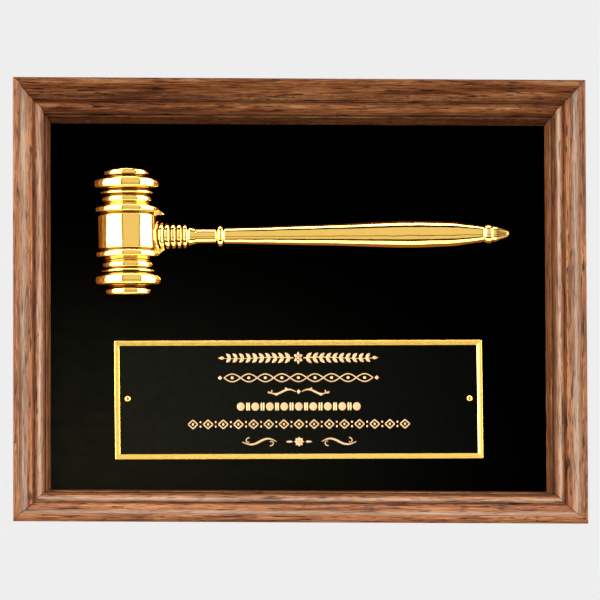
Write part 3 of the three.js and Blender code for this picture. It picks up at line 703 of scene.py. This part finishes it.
def rounded_rect(w, h, r, steps=8):
    out = []
    for cx, cz, a0 in ((w / 2 - r, h / 2 - r, 0), (-w / 2 + r, h / 2 - r, 90), (-w / 2 + r, -h / 2 + r, 180), (w / 2 - r, -h / 2 + r, 270)):
        for k in range(steps + 1):
            a = math.radians(a0 + 90 * k / steps)
            out.append((cx + r * math.cos(a), cz + r * math.sin(a)))
    return out


PLATE_TURN = math.radians(0.45)


def turn_plate(x, z):
    """The plate is screwed on a touch out of level."""
    c, k = math.cos(PLATE_TURN), math.sin(PLATE_TURN)
    return PX + (x - PX) * c - (z - PZ) * k, PZ + (x - PX) * k + (z - PZ) * c


def plate():
    loops = [
        (0.0, P0, 0.6), (0.0, P1 - 0.30, 0.6), (0.10, P1 - 0.12, 0.6), (0.28, P1 - 0.02, 0.55), (0.5, P1, 0.5),
        (3.25, P1, 0.35), (3.4, P1 - 0.10, 0.35), (3.6, P1 - 0.12, 0.35),
    ]
    verts, faces, fm = [], [], []
    n = 36
    for inset, v, r in loops:
        for x, z in rounded_rect(PW - 2 * inset, PH - 0.7 - 2 * inset, r):
            tx, tz = turn_plate(PX + x, PZ - 0.3 + z)
            verts.append((tx, v, tz))
    for a in range(len(loops) - 1):
        for i in range(n):
            j = (i + 1) % n
            faces.append((a * n + i, a * n + j, (a + 1) * n + j, (a + 1) * n + i))
            fm.append(0 if a < 6 else 1)
    faces.append(tuple(range(n)))
    fm.append(0)
    faces.append(tuple((len(loops) - 1) * n + i for i in range(n)))
    fm.append(1)
    make("name_plate_panel", verts, faces, [BORDER, LACQUER], replaces=["name_plate"], smooth=40, face_mats=fm)


plate()
FIELD_V = P1 - 0.12


class Inlay:
    """Thin raised gold shapes on the black field. Each is closed."""

    def __init__(self):
        self.verts, self.faces = [], []

    def poly(self, pts, height=0.10):
        """A closed outline, in order, that is convex or close to it."""
        n, s = len(pts), len(self.verts)
        cx, cz = sum(p[0] for p in pts) / n, sum(p[1] for p in pts) / n
        for v, k in ((FIELD_V - 0.05, 1.0), (FIELD_V + height * 0.7, 1.0), (FIELD_V + height, 0.9)):
            for x, z in pts:
                self.verts.append((PX + cx + (x - cx) * k, v, PZ + cz + (z - cz) * k))
        for a in range(2):
            for i in range(n):
                j = (i + 1) % n
                self.faces.append((s + a * n + i, s + a * n + j, s + (a + 1) * n + j, s + (a + 1) * n + i))
        self.faces.append(tuple(s + i for i in range(n)))
        self.faces.append(tuple(s + 2 * n + i for i in range(n)))

    def dot(self, x, z, r, n=14, squash=1.0):
        self.poly([(x + r * math.cos(2 * math.pi * k / n), z + squash * r * math.sin(2 * math.pi * k / n)) for k in range(n)])

    def diamond(self, x, z, w, h):
        self.poly([(x - w, z), (x, z + h), (x + w, z), (x, z - h)])

    def leaf(self, x, z, length, width, angle):
        pts = []
        n = 7
        for k in range(n + 1):
            t = k / n
            pts.append((t * length, width * math.sin(math.pi * t**0.8)))
        for k in range(n - 1, 0, -1):
            t = k / n
            pts.append((t * length, -width * math.sin(math.pi * t**0.8)))
        c, s = math.cos(angle), math.sin(angle)
        self.poly([(x + c * a - s * b, z + s * a + c * b) for a, b in pts])

    def stroke(self, path, widths, height=0.10):
        """A ribbon of changing width along a path."""
        s = len(self.verts)
        n = len(path)
        for i, (x, z) in enumerate(path):
            a, b = path[max(0, i - 1)], path[min(n - 1, i + 1)]
            tx, tz = b[0] - a[0], b[1] - a[1]
            ln = math.hypot(tx, tz) or 1.0
            nx, nz = -tz / ln, tx / ln
            w = widths(i / (n - 1)) / 2
            for off, v in ((-w, FIELD_V - 0.05), (-w, FIELD_V + height * 0.6), (0, FIELD_V + height), (w, FIELD_V + height * 0.6), (w, FIELD_V - 0.05)):
                self.verts.append((PX + x + nx * off, v, PZ + z + nz * off))
        for i in range(n - 1):
            for k in range(5):
                q = (k + 1) % 5
                self.faces.append((s + i * 5 + k, s + i * 5 + q, s + (i + 1) * 5 + q, s + (i + 1) * 5 + k))
        self.faces.append(tuple(s + k for k in range(5)))
        self.faces.append(tuple(s + (n - 1) * 5 + k for k in range(5)))

    def build(self, name, z=0.0, wide=1.0, tall=1.0):
        """Widen the row about the plate's middle and heighten it about its own line."""
        placed = []
        for a, v, c in self.verts:
            tx, tz = turn_plate(PX + (a - PX) * wide, PZ + z + (c - PZ - z) * tall)
            placed.append((tx, v, tz))
        self.verts = placed
        make(name, self.verts, self.faces, ENGRAVE, smooth=35)


def taper(w, ends=0.25):
    return lambda t: w * (ends + (1 - ends) * math.sin(math.pi * min(1, max(0, t))) ** 0.6)


def spiral(cx, cz, r0, r1, a0, a1, n=40):
    return [(cx + (r0 + (r1 - r0) * k / n) * math.cos(a0 + (a1 - a0) * k / n), cz + (r0 + (r1 - r0) * k / n) * math.sin(a0 + (a1 - a0) * k / n)) for k in range(n + 1)]


def leaf_band(z, width, h, pitch=4.4):
    """Row 1: a laurel branch to each side of a small flower."""
    ink = Inlay()
    for side in (-1, 1):
        half = width / 2
        path = [(side * (3.4 + (half - 3.4) * k / 30), z + 0.35 * math.sin(k / 30 * math.pi * 2)) for k in range(31)]
        ink.stroke(path, lambda t: 0.55 * (1 - 0.6 * t))
        count = int((half - 5) / pitch)
        for k in range(count):
            x = 5.2 + k * pitch
            size = 4.6 - 0.9 * k / count
            for up in (-1, 1):
                a = math.radians(34) * up
                ink.leaf(side * x, z, size, 0.92, a if side > 0 else math.pi - a)
        ink.leaf(side * (5.2 + count * pitch), z, 3.6, 0.8, 0.0 if side > 0 else math.pi)
    for k in range(6):
        a = math.pi / 6 + k * math.pi / 3
        ink.leaf(1.0 * math.cos(a), z + 1.0 * math.sin(a), 2.1, 0.75, a)
    ink.dot(0, z, 0.8)
    ink.build("plate_branch_row", z, 1.0, 1.38)


def guilloche(z, width, h, turns=9):
    """Row 2: two waves that cross, with a bead in each loop."""
    ink = Inlay()
    n = turns * 18
    for phase in (0, math.pi):
        path = [(-width / 2 + width * k / n, z + h / 2 * 0.82 * math.sin(phase + 2 * math.pi * turns / 2 * k / n)) for k in range(n + 1)]
        ink.stroke(path, lambda t: 0.72)
    for k in range(turns):
        ink.dot(-width / 2 + width * (k + 0.5) / turns, z, 1.0, squash=0.95)
    for s in (-1, 1):
        ink.diamond(s * (width / 2 + 2.6), z, 1.5, 1.5)
    ink.build("plate_wave_row")


def scroll_row(z, width, h):
    """A centred pair of scrolls."""
    ink = Inlay()
    for s in (-1, 1):
        path = [(s * (1.8 + (width / 2 - 4.2) * k / 40), z + h * 0.32 * math.sin(math.pi * 2 * k / 40)) for k in range(41)]
        ink.stroke(path, lambda t: 0.4 + 0.9 * math.sin(math.pi * t))
        ink.stroke(spiral(s * (width / 2 - 2.4), z + h * 0.05, 0.35, 2.0, 0 if s > 0 else math.pi, (-3.6 if s > 0 else math.pi + 3.6)), lambda t: 0.35 + 0.4 * t)
        ink.leaf(s * 6.4, z + 0.7, 3.0, 0.6, math.radians(48) if s > 0 else math.radians(132))
        ink.leaf(s * 12.2, z - 0.8, 3.0, 0.6, math.radians(-42) if s > 0 else math.radians(222))
    ink.diamond(0, z, 1.2, 1.7)
    ink.build("plate_scroll_row", z, 1.08, 1.0)


def bead_reel(z, width, h):
    """Row 3: long beads and paired discs in turn."""
    ink = Inlay()
    pitch = 8.1
    count = int(width / pitch)
    x0 = -pitch * count / 2
    for k in range(count):
        x = x0 + pitch * (k + 0.5)
        ink.dot(x, z, 2.15, 18, 0.92)
        if k < count - 1:
            for d in (-0.62, 0.62):
                xx = x + pitch / 2 + d
                ink.poly([(xx - 0.34, z - 1.9), (xx + 0.34, z - 1.9), (xx + 0.46, z), (xx + 0.34, z + 1.9), (xx - 0.34, z + 1.9), (xx - 0.46, z)])
    ink.build("plate_bead_row", z, 1.19, 1.40)


def chain_row(z, width, h):
    """Row 4: lozenges, dots and short bars."""
    ink = Inlay()
    pitch = 9.15
    count = int(width / pitch)
    x0 = -pitch * count / 2
    for k in range(count):
        x = x0 + pitch * (k + 0.5)
        c, s = 2.9, 2.05
        for p, q in (((-c, 0), (0, s)), ((0, s), (c, 0)), ((c, 0), (0, -s)), ((0, -s), (-c, 0))):
            ink.stroke([(x + p[0] + (q[0] - p[0]) * t / 4, z + p[1] + (q[1] - p[1]) * t / 4) for t in range(5)], lambda t: 0.62)
        ink.dot(x, z, 0.62, 10)
        if k < count - 1:
            ink.dot(x + pitch / 2, z + 1.05, 0.5, 10)
            ink.dot(x + pitch / 2, z - 1.05, 0.5, 10)
    ink.build("plate_chain_row", z, 1.10, 1.42)


def foot_row(z):
    """Row 5: a rosette between two scrolled flourishes."""
    ink = Inlay()
    for k in range(8):
        a = k * math.pi / 4
        ink.leaf(1.0 * math.cos(a), z + 1.0 * math.sin(a), 2.3, 0.72, a)
    ink.dot(0, z, 0.85)
    for s in (-1, 1):
        ink.leaf(s * 4.2, z, 4.6, 0.75, 0 if s > 0 else math.pi)
        cx0, cx1 = 15.0, 38.0
        path = [(s * (cx0 + (cx1 - cx0) * k / 50), z + 2.2 * math.sin(2 * math.pi * k / 50) * (1 - 0.25 * k / 50)) for k in range(51)]
        ink.stroke(path, lambda t: 0.35 + 1.05 * math.sin(math.pi * t))
        ink.stroke(spiral(s * 18.8, z - 0.5, 0.4, 2.3, 0.6 if s > 0 else math.pi - 0.6, 5.0 if s > 0 else math.pi - 5.0), lambda t: 0.3 + 0.4 * t)
        ink.stroke(spiral(s * 33.6, z + 0.5, 0.4, 2.3, 3.7 if s > 0 else math.pi - 3.7, 8.1 if s > 0 else math.pi - 8.1), lambda t: 0.3 + 0.4 * t)
    ink.build("plate_foot_row")


leaf_band(27.8, 106.6, 7.8)
guilloche(14.4, 99.0, 6.4)
scroll_row(5.0, 41.4, 4.7)
bead_reel(-5.0, 80.7, 6.4)
chain_row(-16.9, 146.0, 6.0)
foot_row(-28.7)


# ------------------------------------------------------------------ turned small parts
def turned(name, profile, axis_pos, mats, node, segs=40, reach=0.25, steps=3, direction=1, base_v=0.0, body="root", recess=None):
    """A lathe piece with its axis across the plaque. Profile is [radius, height]; height runs
    to the front for direction 1 and to the back for -1."""
    pts, _ = rounded(profile, reach, steps)
    x0, z0 = axis_pos
    verts, faces, rows = [], [], []
    for r, h in pts:
        start = len(verts)
        v = base_v + direction * h
        if r < 1e-6:
            verts.append((x0, v, z0))
            rows.append((start, 1))
            continue
        for k in range(segs):
            a = 2 * math.pi * k / segs
            verts.append((x0 + r * math.cos(a), v, z0 + r * math.sin(a)))
        rows.append((start, segs))
    for (a, na), (b, nb) in zip(rows, rows[1:]):
        for k in range(segs):
            q = (k + 1) % segs
            if na == 1 and nb > 1:
                faces.append((a, b + k, b + q))
            elif nb == 1 and na > 1:
                faces.append((a + k, a + q, b))
            elif na > 1:
                faces.append((a + k, a + q, b + q, b + k))
    ob = make(name, verts, faces, mats, body=body, replaces=[node] if node else (), smooth=50)
    # painted shade: faces near the axis, in the recess, take the dark second material
    if recess:
        for poly in ob.data.polygons:
            c = poly.center
            if math.hypot(c.x / MM - x0, c.z / MM - z0) < recess:
                poly.material_index = 1
    return ob


for side, x, z in (("left", -113.6, -62.8), ("right", 113.6, -61.4)):
    turned(
        "brass_screw_" + side,
        [(0, 0.0), (2.3, 0.0), (2.3, 0.35), (2.1, 1.0), (1.7, 1.5), (1.25, 1.72), (1.05, 1.6), (0.95, 0.75), (0, 0.7)],
        (x, z), [BRASS, BRASS_SHADE], "name_plate_screw_" + side, base_v=10.7 - 0.08, recess=1.0,
    )

# ------------------------------------------------------------------ CAD nodes that stay
for name, ob in NODES.items():
    if ob.hide_render:
        continue
    if name.startswith(("corner_v_nail", "framing_point", "gavel_screw", "gavel_washer", "hanger_")):
        mat = ZINC
    elif name == "back_cover":
        mat = KRAFT
    elif name == "backing_board":
        mat = BOARD
    elif name.startswith("wall_bumper"):
        mat = RUBBER
    else:
        mat = ZINC
    ob.data.materials.clear()
    ob.data.materials.append(mat)

# ------------------------------------------------------------------ floor
bm = bmesh.new()
bmesh.ops.create_grid(bm, x_segments=8, y_segments=8, size=60.0)
floor_mesh = bpy.data.meshes.new("floor")
bm.to_mesh(floor_mesh)
bm.free()
floor = bpy.data.objects.new("floor", floor_mesh)
floor.location = (0, 0, -2.2)
scene.collection.objects.link(floor)
fm, fg, fp = material("floor_pale")
setp(fg, fp, base=fg.mix(fg.noise(fg.coords((3, 3, 3))), (0.80, 0.80, 0.80, 1), (0.82, 0.82, 0.82, 1)), rough=0.9, spec=0.1)
floor_mesh.materials.append(fm)
floor.visible_glossy = False
floor.visible_diffuse = False
floor.visible_shadow = False

# ------------------------------------------------------------------ studio light
world = bpy.data.worlds.new("studio")
world.use_nodes = True
scene.world = world
w = Graph(world.node_tree)
tc = w.node("ShaderNodeTexCoord")
sep = w.node("ShaderNodeSeparateXYZ")
w.t.links.new(tc.outputs["Generated"], sep.inputs[0])
dx, dy, dz = sep.outputs
azimuth = w.math("DEGREES", w.math("ARCTAN2", dx, w.math("MULTIPLY", dy, -1.0)))
horizontal = w.math("SQRT", w.math("ADD", w.math("MULTIPLY", dx, dx), w.math("MULTIPLY", dy, dy)))
elevation = w.math("DEGREES", w.math("ARCTAN2", dz, horizontal))
# the angle in the vertical plane through the front: 0 is straight ahead, 90 up, over 90 behind the top
pitch = w.math("DEGREES", w.math("ARCTAN2", dz, w.math("MULTIPLY", dy, -1.0)))


def band(value, lo, hi, soft):
    return w.math("MULTIPLY", w.ramp(value, lo - soft, lo + soft), w.ramp(value, hi - soft, hi + soft, 1.0, 0.0))


def total(*terms):
    out = terms[0]
    for t in terms[1:]:
        out = w.math("ADD", out, t)
    return out


def times(value, k):
    return w.math("MULTIPLY", value, k)


left_box = w.math("MULTIPLY", band(azimuth, -60, -15, 1.0), band(elevation, -24, 45, 2))
left_rim = w.math("MULTIPLY", band(azimuth, -14.5, -10.5, 0.7), band(elevation, -27, 46, 2))
right_box = w.math("MULTIPLY", band(azimuth, 37.5, 75, 1.0), band(elevation, -24, 45, 2))
right_rim = w.math("MULTIPLY", band(azimuth, 33, 37, 0.7), band(elevation, -27, 46, 2))
top_box = band(pitch, 61, 81, 1.5)
top_soft = band(pitch, 106, 150, 6)
low_card = w.math("MULTIPLY", band(pitch, -58, -39, 1.5), band(azimuth, -110, 110, 10))
upper_dark = band(elevation, 45, 59, 1.0)
lower_dark = w.math("MULTIPLY", band(pitch, -40, -27, 1.0), band(azimuth, -110, 110, 10))
lower_line = w.math("MULTIPLY", band(pitch, -9, -4, 1.0), band(azimuth, -30, 34, 3))
side_fill = w.math("MULTIPLY", band(w.math("ABSOLUTE", azimuth), 94, 146, 6), band(elevation, -50, 60, 8))
edge_dark = w.math("SUBTRACT", w.ramp(pitch, 81, 84), w.ramp(pitch, 102, 106))
below = w.ramp(pitch, -61, -58, 1.0, 0.0)
far_side = w.math("MAXIMUM", band(azimuth, -92, -62, 3), band(azimuth, 76, 92, 3))
far_side = w.math("MULTIPLY", far_side, band(elevation, -60, 60, 4))

GLOSS = total(w.ramp(elevation, -90, 90, 0.93, 0.93), times(left_box, 8.0), times(right_box, 8.0), times(top_box, 8.0), times(top_soft, 1.8), times(low_card, 3.9), times(side_fill, 1.5))
for shade, depth_ in ((left_rim, 0.55), (right_rim, 0.55), (upper_dark, 0.98), (lower_dark, 0.96), (lower_line, 0.85), (edge_dark, 0.6), (below, 0.62), (far_side, 0.5)):
    GLOSS = w.math("MULTIPLY", GLOSS, w.math("SUBTRACT", 1.0, times(shade, depth_)))
DIFF = total(w.math("MULTIPLY_ADD", dz, 0.34, 0.92), times(left_box, 0.35), times(right_box, 0.35))
light_path = w.node("ShaderNodeLightPath")
strength = w.node("ShaderNodeMix", data_type="FLOAT")
w.put(light_path.outputs["Is Glossy Ray"], strength.inputs[0])
w.put(DIFF, strength.inputs[2])
w.put(GLOSS, strength.inputs[3])
warm = w.mix(w.ramp(elevation, -40, 10), (1.0, 0.965, 0.90, 1), (1.0, 1.0, 1.0, 1))
warm = w.mix(w.math("MAXIMUM", w.math("MULTIPLY", below, light_path.outputs["Is Glossy Ray"]), w.math("MULTIPLY", w.math("MAXIMUM", edge_dark, far_side), light_path.outputs["Is Glossy Ray"])), warm, (1.0, 0.50, 0.30, 1))
studio = w.node("ShaderNodeBackground")
w.put(warm, studio.inputs["Color"])
w.put(strength.outputs[0], studio.inputs["Strength"])
pale = w.node("ShaderNodeBackground")
pale.inputs["Color"].default_value = (0.855, 0.855, 0.855, 1)
both = w.node("ShaderNodeMixShader")
w.put(light_path.outputs["Is Camera Ray"], both.inputs[0])
w.t.links.new(studio.outputs[0], both.inputs[1])
w.t.links.new(pale.outputs[0], both.inputs[2])
out = w.node("ShaderNodeOutputWorld")
w.t.links.new(both.outputs[0], out.inputs["Surface"])

# ------------------------------------------------------------------ final update
bpy.context.view_layer.update()
